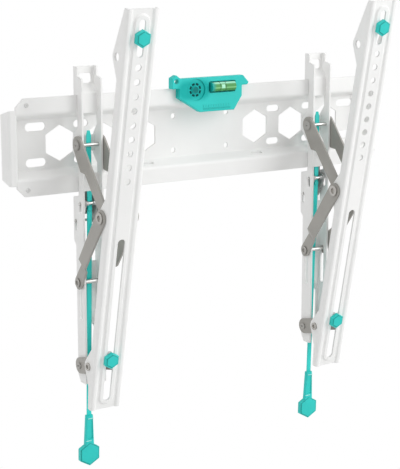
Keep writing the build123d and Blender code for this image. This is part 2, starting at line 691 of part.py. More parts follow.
with BuildPart() as rail:
    section_plane = Plane(
        origin=rail_face.from_local_coords((0, -RAIL_LENGTH / 2, 0)),
        x_dir=(1, 0, 0),
        z_dir=rail_face.y_dir,
    )
    with BuildSketch(section_plane) as section:
        with BuildLine():
            FilletPolyline(
                (-flange_mid, RAIL_END_FLANGE),
                (-flange_mid, -face_mid),
                (-groove_edge, -face_mid),
                (-groove_edge + GROOVE_DEPTH, -face_mid + GROOVE_DEPTH),
                (groove_edge - GROOVE_DEPTH, -face_mid + GROOVE_DEPTH),
                (groove_edge, -face_mid),
                (flange_mid, -face_mid),
                (flange_mid, RAIL_END_FLANGE),
                radius=RAIL_BEND,
            )
        trace(line_width=RAIL_SHEET)
    extrude(amount=RAIL_LENGTH)
    # The raised track with sloped sides, pressed from behind
    with BuildSketch(rail_face.offset(-GROOVE_DEPTH)) as track:
        SlotOverall(RAIL_LENGTH - 2 * TRACK_END, TRACK_WIDTH, rotation=90)
    extrude(amount=GROOVE_DEPTH, taper=45)
    hollow = TRACK_WIDTH - 2 * (GROOVE_DEPTH + RAIL_SHEET)
    with BuildSketch(rail_face.offset(-RAIL_SHEET - GROOVE_DEPTH)) as track_back:
        SlotOverall(RAIL_LENGTH - 2 * TRACK_END - TRACK_WIDTH + hollow, hollow, rotation=90)
    extrude(amount=GROOVE_DEPTH, mode=Mode.SUBTRACT)
    # Flanges, deepest at the ears
    for x in (-rail_outer, rail_inner):
        with BuildSketch(rail_side(x)) as flange:
            with BuildLine():
                Polyline(
                    (RAIL_SHEET + RAIL_BEND, -RAIL_LENGTH / 2),
                    (RAIL_END_FLANGE, -RAIL_LENGTH / 2),
                    (RAIL_FLANGE, -RAIL_LENGTH / 2 + EAR_FOOT),
                    (RAIL_FLANGE, RAIL_LENGTH / 2 - EAR_FOOT),
                    (RAIL_END_FLANGE, RAIL_LENGTH / 2),
                    (RAIL_SHEET + RAIL_BEND, RAIL_LENGTH / 2),
                    close=True,
                )
            make_face()
            for height, outline, hole in zip(ears, ear_outlines, ear_holes):
                with Locations((0, height)):
                    add(outline)
                with Locations((EAR_REACH, height)):
                    Circle(hole, mode=Mode.SUBTRACT)
        extrude(amount=RAIL_SHEET)
    # The row of holes and the two adjusting slots
    with BuildSketch(rail_face.offset(-RAIL_FLANGE)) as face_holes:
        for index in range(HOLE_COUNT):
            with Locations((0, on_rail(HOLE_FIRST + index * HOLE_PITCH))):
                Circle(HOLE_DIAMETER / 2)
        for start, end, width in (
            (TOP_SLOT_START, TOP_SLOT_END, TOP_SLOT_WIDTH),
            (LOW_SLOT_START, low_slot_end, LOW_SLOT_WIDTH),
        ):
            with Locations((0, on_rail((start + end) / 2))):
                SlotOverall(end - start, width, rotation=90)
    extrude(amount=2 * RAIL_FLANGE, mode=Mode.SUBTRACT)


def thumb_screw(down):
    """A hexagonal thumb screw on a stud, a distance down from the rail's top."""
    with BuildPart() as screw:
        with BuildSketch(rail_face.offset(KNOB_GAP)) as head:
            with Locations((0, on_rail(down))):
                RegularPolygon(KNOB_CORNERS / 2, 6, rotation=30)
        extrude(amount=KNOB_THICKNESS)
        front = screw.faces().sort_by(Axis((0, 0, 0), rail_face.z_dir))[-1]
        chamfer(front.edges(), KNOB_EDGE)
        with BuildSketch(rail_face.offset(KNOB_GAP)) as stud:
            with Locations((0, on_rail(down))):
                Circle(STUD_DIAMETER / 2)
        extrude(amount=-STUD_LENGTH)
    return screw


def slide_nut(down):
    """The square nut behind the rail's face that a thumb screw draws up."""
    with BuildPart() as nut:
        with BuildSketch(rail_face.offset(-nut_front)) as block:
            with Locations((0, on_rail(down))):
                RectangleRounded(NUT_SIZE, NUT_SIZE, 1.5)
                Circle(STUD_DIAMETER / 2 + PIN_CLEARANCE, mode=Mode.SUBTRACT)
        extrude(amount=-NUT_THICKNESS)
    return nut


nut_front = RAIL_SHEET + GROOVE_DEPTH + SLIDE_GAP / 2
top_knob = thumb_screw(TOP_KNOB_AT)
low_knob = thumb_screw(LOW_KNOB_AT)
top_nut = slide_nut(TOP_KNOB_AT)
low_nut = slide_nut(LOW_KNOB_AT)

# Release strip: a flat moulded strip behind the pins, with a tapered upper end
with BuildPart() as pull_strip:
    with BuildSketch(side_plane(-STRIP_WIDTH / 2)) as ribbon:
        with BuildLine():
            FilletPolyline(
                (-STRIP_DEPTH, STRIP_TOP),
                (-STRIP_DEPTH, STRIP_KNEE_Z),
                (-STRIP_DEPTH + (STRIP_KNEE_Z - STRIP_BOTTOM) * tan(lean), STRIP_BOTTOM),
                radius=STRIP_BEND,
            )
        trace(line_width=STRIP_THICKNESS)
    extrude(amount=STRIP_WIDTH)
    with BuildSketch(Plane.XZ) as taper:
        for side in (-1, 1):
            with BuildLine():
                Polyline(
                    (side * STRIP_WIDTH / 2, STRIP_TOP),
                    (side * STRIP_WIDTH / 4, STRIP_TOP),
                    (side * STRIP_WIDTH / 2, STRIP_TOP - STRIP_WIDTH),
                    close=True,
                )
            make_face()
        with Locations((0, STRIP_RIVET_Z)):
            Circle(STRIP_RIVET_RADIUS + PIN_CLEARANCE)
    extrude(amount=2 * UPRIGHT_FRONT, mode=Mode.SUBTRACT)

# Latch: a plate whose upper edge stands behind the lower band, with a cheek on each side
claw_front = band_back - HOOK_PLAY
claw_top = -band_top + CLAW_OVERLAP
claw_foot = GUIDE_PIN_Z + 7
latch_half = LATCH_WIDTH / 2
latch_pins_at = ((-LATCH_PIN_DEPTH, LATCH_PIN_Z), (-GUIDE_PIN_DEPTH, GUIDE_PIN_Z))
with BuildPart() as latch:
    with BuildSketch(Plane.XZ.offset(claw_front - SHEET)) as claw:
        with Locations((0, (claw_top + claw_foot) / 2)):
            RectangleRounded(LATCH_WIDTH, claw_top - claw_foot, 1.5)
        with Locations((0, STRIP_RIVET_Z)):
            Circle(STRIP_RIVET_RADIUS + PIN_CLEARANCE, mode=Mode.SUBTRACT)
    extrude(amount=SHEET)
    for x in (-latch_half, latch_half - SHEET):
        with BuildSketch(side_plane(x)) as cheek:
            for y, z in (*latch_pins_at, (-claw_front, -band_top - 10)):
                with Locations((y, z)):
                    Circle(2.4 * LATCH_PIN_RADIUS)
            make_hull()
            with Locations(*latch_pins_at):
                Circle(LATCH_PIN_RADIUS + PIN_CLEARANCE, mode=Mode.SUBTRACT)
        extrude(amount=SHEET)

with BuildPart() as latch_pins:
    with BuildSketch(side_plane(-half_width - LATCH_PIN_STAND)) as rods:
        with Locations(*latch_pins_at):
            Circle(LATCH_PIN_RADIUS)
    extrude(amount=UPRIGHT_WIDTH + 2 * LATCH_PIN_STAND)

# The rivet that ties the strip to the latch plate, headed in front of the strip
rivet_at = STRIP_DEPTH - (STRIP_KNEE_Z - STRIP_RIVET_Z) * tan(lean)
rivet_front = rivet_at + STRIP_THICKNESS / 2 + SLIDE_GAP / 4
with BuildPart() as strip_rivet:
    for start, end, radius in (
        (rivet_front, rivet_front + 0.8, 1.6 * STRIP_RIVET_RADIUS),
        (claw_front - SHEET, rivet_front, STRIP_RIVET_RADIUS),
    ):
        with BuildSketch(Plane.XZ.offset(start)) as disc:
            with Locations((0, STRIP_RIVET_Z)):
                Circle(radius)
        extrude(amount=end - start)

# Handle: a tapered sleeve on the strip's end with a hexagonal tag
with BuildPart() as pull_handle:
    for z, width, depth in (
        (SLEEVE_TOP, SLEEVE_WIDTH, SLEEVE_DEPTH),
        (SLEEVE_BOTTOM, SLEEVE_WIDTH * 1.33, SLEEVE_DEPTH * 1.12),
    ):
        with BuildSketch(sleeve_plane(z)) as ring:
            RectangleRounded(width, depth, 1.5)
    loft()
    with BuildSketch(strip_face.offset(-TAG_THICKNESS / 2)) as tag:
        with Locations((0, SLEEVE_BOTTOM - STRIP_KNEE_Z - TAG_CORNERS / 2 + 3)):
            RegularPolygon(TAG_CORNERS / 2, 6, rotation=30)
        fillet(tag.vertices(), 1.2)
    extrude(amount=TAG_THICKNESS)
    # A shallow panel between two ridges, on the front and the back
    panel_top = SLEEVE_TOP - STRIP_KNEE_Z - 4
    panel_foot = SLEEVE_BOTTOM - STRIP_KNEE_Z + 7
    for side in (-1, 1):
        with BuildSketch(strip_face.offset(side * (SLEEVE_DEPTH / 2 - PANEL_DEPTH))) as panel:
            with Locations((0, (panel_top + panel_foot) / 2)):
                Rectangle(SLEEVE_WIDTH * 0.8, panel_top - panel_foot)
        extrude(amount=side * SLEEVE_DEPTH, mode=Mode.SUBTRACT)
    with BuildSketch(sleeve_plane(SLEEVE_TOP)) as socket:
        Rectangle(STRIP_WIDTH + 2 * PIN_CLEARANCE, STRIP_THICKNESS + 2 * PIN_CLEARANCE)
    extrude(amount=SLEEVE_TOP - STRIP_BOTTOM + SLIDE_GAP, mode=Mode.SUBTRACT)

# Pieces of the plate stand once, and each bracket's pieces stand on both sides
once = {
    "wall_plate": wall_plate,
    "level_body": level_body,
    "level_hub": level_hub,
    "level_vial": level_vial,
    "level_bubble": level_bubble,
}
for name, piece in once.items():
    piece.part.label = name
    export_step(piece.part, f"parts/{name}.step")

bracket = {
    "upright": upright,
    "upper_pin": upper_pin,
    "foot_pin": foot_pin,
    "upper_links": upper_links,
    "knee_rivets": knee_rivets,
    "lower_links": lower_links,
    "slot_pin": slot_pin,
    "foot_links": foot_links,
    "rail": rail,
    "foot_rivets": foot_rivets,
    "top_nut": top_nut,
    "top_knob": top_knob,
    "low_nut": low_nut,
    "low_knob": low_knob,
    "latch": latch,
    "latch_pins": latch_pins,
    "strip_rivet": strip_rivet,
    "pull_strip": pull_strip,
    "pull_handle": pull_handle,
}
for side, x in (("left", -BRACKET_X), ("right", BRACKET_X)):
    for name, piece in bracket.items():
        placed = Pos(x, 0, 0) * piece.part
        placed.label = f"{side}_{name}"
        export_step(placed, f"parts/{side}_{name}.step")
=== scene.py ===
# %% [markdown]
# A tilting wall bracket for a television, dressed for a picture
#
# The bracket's steel parts arrive as finished solids in one shared frame: X runs along the wall
# plate, Y goes into the wall and Z is up, all in metres. This lesson gives every solid a believable
# finish, adds the small things that are too fine to be solids, and sets up a studio with a camera.

# %% Load the bracket
from math import atan2, pi

import bpy
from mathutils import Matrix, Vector


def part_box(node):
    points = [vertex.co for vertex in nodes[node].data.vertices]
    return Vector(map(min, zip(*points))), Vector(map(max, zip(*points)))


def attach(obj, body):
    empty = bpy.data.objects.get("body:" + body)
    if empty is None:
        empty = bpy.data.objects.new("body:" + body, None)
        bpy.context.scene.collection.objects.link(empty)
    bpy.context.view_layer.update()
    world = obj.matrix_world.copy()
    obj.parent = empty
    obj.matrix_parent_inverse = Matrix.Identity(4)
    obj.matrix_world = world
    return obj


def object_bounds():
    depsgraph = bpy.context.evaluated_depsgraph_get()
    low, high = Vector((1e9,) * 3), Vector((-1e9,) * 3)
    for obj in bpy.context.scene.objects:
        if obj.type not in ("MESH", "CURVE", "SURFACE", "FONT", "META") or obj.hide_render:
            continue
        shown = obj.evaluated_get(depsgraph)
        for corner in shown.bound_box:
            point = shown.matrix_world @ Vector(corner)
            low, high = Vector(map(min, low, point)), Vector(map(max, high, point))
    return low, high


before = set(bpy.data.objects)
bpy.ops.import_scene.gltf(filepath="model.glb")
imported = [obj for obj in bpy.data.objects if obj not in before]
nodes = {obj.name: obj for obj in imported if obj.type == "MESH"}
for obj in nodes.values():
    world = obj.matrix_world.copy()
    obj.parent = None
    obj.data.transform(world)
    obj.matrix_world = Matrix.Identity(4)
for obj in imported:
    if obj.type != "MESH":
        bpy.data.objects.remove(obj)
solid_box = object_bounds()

scene = bpy.context.scene
print("solids:", len(nodes))

# %% [markdown]
# Finding places on the solids
#
# What is added later has to sit on the solids. A box gives a solid's middle, and a ray from the
# front gives a spot on its surface with the direction that the surface faces.


# %% Middles and fronts
def middle_of(name):
    """The middle of a solid's box."""
    return [(low + high) / 2 for low, high in zip(*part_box(name))]


def front_of(name, x, z):
    """Where a ray from the front meets a solid, and which way the solid faces there."""
    _, spot, normal, _ = nodes[name].ray_cast((x, -1.0, z), (0.0, 1.0, 0.0))
    return spot, normal


def facing(place, aim):
    """The rotation that turns a camera or a lamp at a place towards a point."""
    return (Vector(aim) - Vector(place)).to_track_quat("-Z", "Y").to_euler()


# %% [markdown]
# The camera
#
# A product picture is taken from far away with a long lens, so that parallel edges stay nearly
# parallel. A camera can be aimed with a constraint, but a direction turned into a rotation is
# easier to read and stays put. The long side of the picture takes the sensor's width, so the lens
# is worked out from that.

# %% Camera
eye = Vector((-0.8470, -1.3269, 0.2136))
target = Vector((0.00168, 0.0, -0.11533))
picture_height = 469
focal_pixels = 1462.4
sensor_width = 36.0

camera_data = bpy.data.cameras.new("camera")
camera_data.sensor_width = sensor_width
camera_data.lens = focal_pixels * sensor_width / picture_height
camera = bpy.data.objects.new("camera", camera_data)
scene.collection.objects.link(camera)
camera.location = eye
camera.rotation_euler = facing(eye, target)
scene.camera = camera
print("lens in millimetres:", round(camera_data.lens, 1))

# %% [markdown]
# Writing shaders as sums
#
# A finish is a small formula: a colour that drifts, a roughness that varies, a bump. Drawing it as
# nodes by hand is slow to read in a script, so one class wraps a socket and lets plus, minus and
# times add the Math nodes, and one method makes any other node from its settings and its inputs.
# Geometry Nodes take the same Math nodes, so the shapes further down use the same two classes.


# %% A socket that can be added and multiplied
class Sock:
    """A node's socket that takes part in sums."""

    def __init__(self, tree, socket):
        self.tree = tree
        self.socket = socket

    def math(self, operation, *others):
        """Puts this socket and others through a Math node."""
        node = self.tree.nodes.new("ShaderNodeMath")
        node.operation = operation
        for slot, value in zip(node.inputs, (self, *others)):
            plug(self.tree, slot, value)
        return Sock(self.tree, node.outputs[0])

    def __add__(self, other):
        return self.math("ADD", other)

    def __mul__(self, other):
        return self.math("MULTIPLY", other)

    def __sub__(self, other):
        return self.math("SUBTRACT", other)

    def __rsub__(self, other):
        return self.math("MULTIPLY", -1.0).math("ADD", other)

    __radd__ = __add__
    __rmul__ = __mul__

    def between(self, low, high):
        """Takes a value from low..high to 0..1 with soft ends."""
        return Maker(self.tree).node(
            "ShaderNodeMapRange", {"interpolation_type": "SMOOTHSTEP"},
            {"Value": self, "From Min": low, "From Max": high},
        )

    def band(self, rise, fall):
        """One between a soft rise and a soft fall, and zero outside them."""
        return self.between(*rise) * (1.0 - self.between(*fall))

    def swing(self, amount):
        """Takes a noise about a half to a noise about zero, amount wide."""
        return (self - 0.5) * amount

    def length(self, other):
        """The distance that two values at right angles make."""
        return (self * self + other * other).math("SQRT")


def plug(tree, slot, value):
    """Links a socket, or sets a plain value."""
    if isinstance(value, Sock):
        tree.links.new(value.socket, slot)
    else:
        slot.default_value = value


# %% One place that makes every node
class Maker:
    """A node tree under construction."""

    def __init__(self, tree):
        self.tree = tree

    def node(self, kind, settings=None, inputs=None, output=0):
        """Makes any node: settings first, then the values or links of its sockets."""
        node = self.tree.nodes.new(kind)
        for key, value in (settings or {}).items():
            setattr(node, key, value)
        for key, value in (inputs or {}).items():
            plug(self.tree, node.inputs[key], value)
        return Sock(self.tree, node.outputs[output])


class Finish(Maker):
    """A material under construction, with a principled shader at its end."""

    edge = 0.0005

    def __init__(self, name):
        self.material = bpy.data.materials.new(name)
        self.material.use_nodes = True
        super().__init__(self.material.node_tree)
        self.shader = self.tree.nodes["Principled BSDF"]

    def place(self):
        """The point on the piece, in metres, which moves with the piece."""
        return self.node("ShaderNodeTexCoord", output="Object")

    def along(self, axis):
        """The point's X, Y or Z."""
        return self.node("ShaderNodeSeparateXYZ", None, {0: self.place()}, output=axis)

    def noise(self, scale, detail=2.0, stretch=None):
        """Soft random values about a half, with a grain size of one over scale metres."""
        point = self.place()
        if stretch:
            point = self.node("ShaderNodeMapping", None, {"Vector": point, "Scale": stretch})
        return self.node(
            "ShaderNodeTexNoise", None, {"Vector": point, "Scale": scale, "Detail": detail}
        )

    def mix(self, amount, first, second):
        """Blends two colours by an amount."""
        return self.node(
            "ShaderNodeMix", {"data_type": "RGBA"},
            {0: amount, 6: first, 7: second}, output=2,
        )

    def relief(self, height, depth):
        """Small bumps, depth in metres, over edges that are rounded by a hair."""
        edge = self.node("ShaderNodeBevel", {"samples": 6}, {"Radius": self.edge})
        return self.node(
            "ShaderNodeBump", None,
            {"Strength": 1.0, "Distance": depth, "Height": height, "Normal": edge},
        )

    def set(self, **values):
        """Sets the shader's own sockets, with spaces written as underscores."""
        for key, value in values.items():
            plug(self.tree, self.shader.inputs[key.replace("_", " ")], value)
        return self.material


most_noise, wide_noise = (0.35, 0.65), (0.3, 0.7)
broad_detail = 3.0

# %% [markdown]
# White powder coat
#
# The plate, the uprights and the rails are sheet steel with a baked white powder coat. The powder
# melts into a skin with a faint orange peel about a millimetre across, a satin gloss that wanders a
# little, and a colour that is never quite even. Image textures would show the same, but noise on
# object coordinates needs no unwrapping and looks the same on every piece. The plate has four small
# stops near its corners, and the coat is painted grey on them as painted shade for their small
# bumps. The links, the latch and the nuts have the same skin in greys.

# %% White coat
drift_scale, speck_scale, peel_scale = 22.0, 900.0, 750.0
drift_share, speck_share = 0.7, 0.3
peel_depth, satin, coat_shine = 0.00003, 0.40, 0.45
stop_x, stop_z = 0.2140, 0.0427
stop_fade = (0.0008, 0.0032)


def on_stops(finish):
    """One on the plate's four stops, where painted shade greys the coat, and zero elsewhere."""
    across = finish.along("X").math("ABSOLUTE") - stop_x
    height = finish.along("Z").math("ABSOLUTE") - stop_z
    return 1.0 - across.length(height).between(*stop_fade)


def powder_coat(name, colour, shade, gloss, shadowed=None, shadow_colour=None):
    """Baked paint with an orange peel, and a colour of painted shade where a mask is given."""
    finish = Finish(name)
    drift = finish.noise(drift_scale, broad_detail)
    speck = finish.noise(speck_scale)
    peel = finish.noise(peel_scale)
    cloud = drift.between(*most_noise) * drift_share + speck * speck_share
    tint = finish.mix(cloud, shade, colour)
    # Painted shade: the coat turns to the given grey where the mask is one.
    if shadowed:
        tint = finish.mix(shadowed(finish), tint, shadow_colour)
    return finish.set(
        Base_Color=tint,
        Roughness=drift.swing(0.10) + speck.swing(0.08) + gloss,
        Normal=finish.relief(peel, peel_depth),
        Specular_IOR_Level=coat_shine,
    )


# The last grey here is painted shade for the plate's stops.
white, off_white, stop_shade_grey = (0.92, 0.92, 0.91, 1), (0.89, 0.89, 0.88, 1), (0.64, 0.64, 0.63, 1)
taupe, deep_taupe = (0.408, 0.394, 0.366, 1), (0.355, 0.342, 0.316, 1)
latch_grey, deep_latch = (0.47, 0.48, 0.47, 1), (0.40, 0.41, 0.40, 1)
nut_grey, deep_nut = (0.80, 0.80, 0.79, 1), (0.73, 0.73, 0.72, 1)

white_coat = powder_coat("white_coat", white, off_white, satin)
plate_coat = powder_coat("plate_coat", white, off_white, satin, on_stops, stop_shade_grey)
link_coat = powder_coat("link_coat", taupe, deep_taupe, gloss=0.38)
latch_coat = powder_coat("latch_coat", latch_grey, deep_latch, gloss=0.42)
nut_coat = powder_coat("nut_coat", nut_grey, deep_nut, gloss=0.45)
print("paint is thin within", round(stop_fade[1] * 1000, 1), "mm of a stop's middle")

# %% [markdown]
# Plated steel
#
# Pins, rivets and springs are steel with a bright plating. Turning leaves fine rings, which on a
# short pin along X show as stripes of roughness across X, so the noise is squeezed along that axis.

# %% Plated steel
mark_scale, mark_depth, across_pin = 300.0, 0.00001, (9.0, 1.0, 1.0)
haze_scale, haze_shade = 60.0, 0.86


def turning_marks(finish):
    """Fine marks across a pin's length."""
    return finish.noise(mark_scale, stretch=across_pin)


def plated(name, colour, gloss):
    """Turned and plated steel beneath a light haze."""
    finish = Finish(name)
    marks = turning_marks(finish)
    haze = finish.noise(haze_scale, broad_detail)
    shade = tuple(part * haze_shade for part in colour[:3]) + (1,)
    return finish.set(
        Base_Color=finish.mix(haze.between(*wide_noise), shade, colour),
        Metallic=1.0,
        Roughness=marks.swing(0.22) + haze.swing(0.1) + gloss,
        Normal=finish.relief(marks, mark_depth),
    )


bright = (0.66, 0.655, 0.64, 1)
pin_steel = plated("pin_steel", bright, gloss=0.30)
spring_steel = plated("spring_steel", (0.70, 0.70, 0.69, 1), gloss=0.36)
rivet_steel = plated("rivet_steel", (0.47, 0.455, 0.43, 1), gloss=0.33)

# %% [markdown]
# Pins with two finishes
#
# The pins at the top and the foot of each upright were riveted over and then sprayed with the
# links, so their heads are taupe while the shaft between the flanges stays bright. The pin that
# slides in the upright's slot has bare heads that are darker than its shaft. The heads lie beyond
# the links, so the distance from the middle of the bracket tells them from the shaft.

# %% Painted and bare heads
bracket_x = middle_of("right_upright")[0]
head_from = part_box("right_upper_links")[1][0] - bracket_x
head_fade = 0.0002
mark_share, head_share = 0.3, 0.7


def two_part_pin(name, shaft, head_colour, paint):
    """A bright shaft, and heads outside the links that are painted as far as paint says."""
    finish = Finish(name)
    outwards = (finish.along("X").math("ABSOLUTE") - bracket_x).math("ABSOLUTE")
    head = outwards.between(head_from, head_from + head_fade)
    marks = turning_marks(finish)
    return finish.set(
        Base_Color=finish.mix(marks * mark_share + head * head_share, shaft, head_colour),
        Metallic=1.0 - head * paint,
        Roughness=marks.swing(0.2) + head * 0.06 + 0.32,
        Normal=finish.relief(marks, mark_depth),
    )


head_paint = two_part_pin("head_paint", bright, (0.38, 0.367, 0.340, 1), paint=1.0)
eyelet_steel = two_part_pin("eyelet_steel", bright, (0.30, 0.290, 0.270, 1), paint=0.0)
print("heads begin", round(head_from * 1000, 2), "mm from the middle of a bracket")

# %% [markdown]
# Teal plastic
#
# The thumb screws, the pull strips and the level are moulded in one teal plastic. A mould is spark
# eroded, which leaves a very fine even grain, and the colour is in the plastic, so it only drifts
# slightly where the plastic flowed. A little light goes into it, but a soft gloss says plastic well
# enough.

# %% Teal plastic
flow_scale, grit_scale = 35.0, 2600.0
grain, fine_grain = 0.000012, 0.00001


class Plastic(Finish):
    """Moulded plastic with a spark eroded grain."""

    edge = 0.0004

    def __init__(self, name):
        super().__init__(name)
        self.flow = self.noise(flow_scale)
        self.grit = self.noise(grit_scale)

    def skin(self, tint, gloss, depth, shine):
        """Lays the grain and the gloss over a colour."""
        return self.set(
            Base_Color=tint,
            Roughness=self.grit.swing(0.14) + self.flow.swing(0.08) + gloss,
            Normal=self.relief(self.grit, depth),
            Specular_IOR_Level=shine,
        )


def moulded(name, colour, shade, gloss, depth=fine_grain, shine=0.4):
    """Plastic whose colour drifts where it flowed."""
    finish = Plastic(name)
    tint = finish.mix(finish.flow.between(*wide_noise), (*shade, 1), (*colour, 1))
    return finish.skin(tint, gloss, depth, shine)


teal = moulded("teal", (0.020, 0.635, 0.590), (0.016, 0.590, 0.542), 0.38, grain)
# A lighter copy of the teal for the strips, as painted light against the shade they hang in.
strip_teal = moulded("strip_teal", (0.030, 0.700, 0.648), (0.024, 0.648, 0.594), 0.38, grain)
# Painted highlight: a pale teal for the handle ridges, where their edges catch the light.
ridge_teal = moulded("ridge_teal", (0.420, 0.880, 0.840), (0.330, 0.820, 0.770), 0.30)
# Painted shade: a dark teal for the rims round the raised faces.
rim_teal = moulded("rim_teal", (0.006, 0.370, 0.340), (0.004, 0.335, 0.305), 0.50)
tick_teal = moulded("tick_teal", (0.014, 0.545, 0.502), (0.012, 0.510, 0.468), 0.42)
vent_teal = moulded("vent_teal", (0.001, 0.060, 0.054), (0.001, 0.048, 0.043), 0.60, shine=0.1)
dark_plastic = moulded("dark_plastic", (0.030, 0.055, 0.055), (0.022, 0.040, 0.040), 0.45)

# %% [markdown]
# The vial
#
# A level's vial is a clear tube of dyed spirit with a bubble. Glass with coloured absorption would
# be true, but it is slow and goes dark on a small tube. So the tube is a smooth plastic, painted
# with the light a tube shows: a painted highlight along its top, a second painted line of light
# that it gathers lower down, a painted light patch where the bubble stands, and the moulding's teal
# where its left end sits in its seat.
# Heights on the tube are shares of its thickness, from its underside up.

# %% Vial and bubble
vial_low, vial_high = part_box("level_vial")
vial_thick = vial_high[2] - vial_low[2]
bubble_low, bubble_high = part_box("level_bubble")
bubble_x = middle_of("level_bubble")[0]
bubble_half = (bubble_high[0] - bubble_low[0]) / 2
# Where light is painted on the tube: a gathered line, a highlight along the top, a patch at the
# bubble.
lower_line, upper_line = ((0.28, 0.40), (0.42, 0.56)), (0.74, 0.93)
patch_band, patch_fade = ((0.30, 0.38), (0.72, 0.80)), (bubble_half * 0.8, bubble_half * 1.1)
streak_scale, along_tube = 120.0, (0.3, 1.0, 1.0)
line_share, streak_share = 0.8, 0.2
seat_run = 0.006


def dyed_and_lit_tube(name, dye, gathered, pale, seat):
    """A smooth tube of dye with painted lines of light along it and a painted light patch for the
    bubble.
    """
    finish = Finish(name)
    across = finish.along("X")
    share = (finish.along("Z") - vial_low[2]) * (1.0 / vial_thick)
    streak = finish.noise(streak_scale, stretch=along_tube)
    light = share.band(*lower_line) * line_share + streak * streak_share
    tint = finish.mix(light, dye, gathered)
    tint = finish.mix(share.between(*upper_line), tint, pale)
    patch = 1.0 - (across - bubble_x).math("ABSOLUTE").between(*patch_fade)
    tint = finish.mix(patch * share.band(*patch_band), tint, pale)
    tint = finish.mix(across.between(vial_low[0], vial_low[0] + seat_run), seat, tint)
    return finish.set(
        Base_Color=tint,
        Roughness=streak * 0.06 + 0.12,
        Specular_IOR_Level=0.12,
    )


# Only the dark green is dye; the lighter greens are painted light and painted highlight.
dark_dye, gathered_light_green = (0.075, 0.310, 0.080, 1), (0.300, 0.700, 0.310, 1)
highlight_green, seat_teal = (0.480, 0.930, 0.680, 1), (0.010, 0.420, 0.380, 1)
vial_dye = dyed_and_lit_tube("vial_dye", dark_dye, gathered_light_green, highlight_green, seat_teal)
bubble_pale = dyed_and_lit_tube("bubble_pale", gathered_light_green, highlight_green, highlight_green, seat_teal)
print("the vial is", round(vial_thick * 1000, 1), "mm thick")

# %% [markdown]
# The level's hollow
#
# The level is hollowed round its hub, and its colour is painted darker there as painted shade in
# the hollow. How dark follows from the distance to a short level line past the hub. The hub takes
# the same rule with a line of no length, which darkens its middle and leaves its rim.

# %% Painted shade in the hollow
hub_x, _, hub_z = middle_of("level_hub")
hollow_line, hollow_reach = (-0.012, 0.009), (0.006, 0.014)
hub_line, hub_reach = (0.0, 0.0), (0.0033, 0.0038)
hollow_share, flow_share = 0.9, 0.1


def hollowed(name, colour, darker_tint, line, reach):
    """Moulded plastic that is darker near a level line past the hub; on the level this is painted
    shade.
    """
    finish = Plastic(name)
    across = finish.along("X")
    nearest = across.math("MAXIMUM", hub_x + line[0]).math("MINIMUM", hub_x + line[1])
    away = (across - nearest).length(finish.along("Z") - hub_z)
    hollow = 1.0 - away.between(*reach)
    tint = finish.mix(hollow * hollow_share + finish.flow * flow_share, (*colour, 1), (*darker_tint, 1))
    return finish.skin(tint, gloss=0.42, depth=grain, shine=0.15)


# The darker teal of the level is painted shade in its hollow.
level_teal = hollowed(
    "level_teal", (0.042, 0.640, 0.592), (0.003, 0.440, 0.405), hollow_line, hollow_reach
)
hub_teal = hollowed(
    "hub_teal", (0.006, 0.450, 0.415), (0.002, 0.190, 0.172), hub_line, hub_reach
)
print("the hollow is", round((hollow_line[1] - hollow_line[0]) * 1000, 1), "mm long")

# %% [markdown]
# Which solid gets which finish
#
# Every solid's name ends in a plain word, so a short list of words sends each one to its finish. A
# longer word is tried first, because some names end in two of the words.

# %% Give the solids their finishes
by_word = {
    "wall_plate": plate_coat, "upright": white_coat, "rail": white_coat,
    "upper_links": link_coat, "lower_links": link_coat, "foot_links": link_coat,
    "latch": latch_coat, "nut": nut_coat,
    "upper_pin": head_paint, "foot_pin": head_paint,
    "slot_pin": eyelet_steel, "latch_pins": pin_steel,
    "knee_rivets": rivet_steel, "foot_rivets": rivet_steel, "strip_rivet": teal,
    "level_body": level_teal, "knob": teal, "pull_strip": strip_teal, "pull_handle": teal,
    "level_hub": hub_teal, "level_vial": vial_dye, "level_bubble": bubble_pale,
}
long_first = sorted(by_word, key=len, reverse=True)
for name, solid in nodes.items():
    solid.data.materials.clear()
    solid.data.materials.append(by_word[next(word for word in long_first if name.endswith(word))])
print("finishes:", len(set(by_word.values())))

# %% [markdown]
# Small things that repeat
#
# The level carries rows of raised ticks, dark vents and two rings on its vial. The handles have
# ridges, the thumb screws and tags have raised faces, and each upper latch pin carries the turns of
# its return spring. Each could be modelled one by one, but a rule is shorter: Geometry Nodes put
# copies on a line, or sweep a wire along a spiral. The result is made a plain mesh, so that it
# travels with its body.


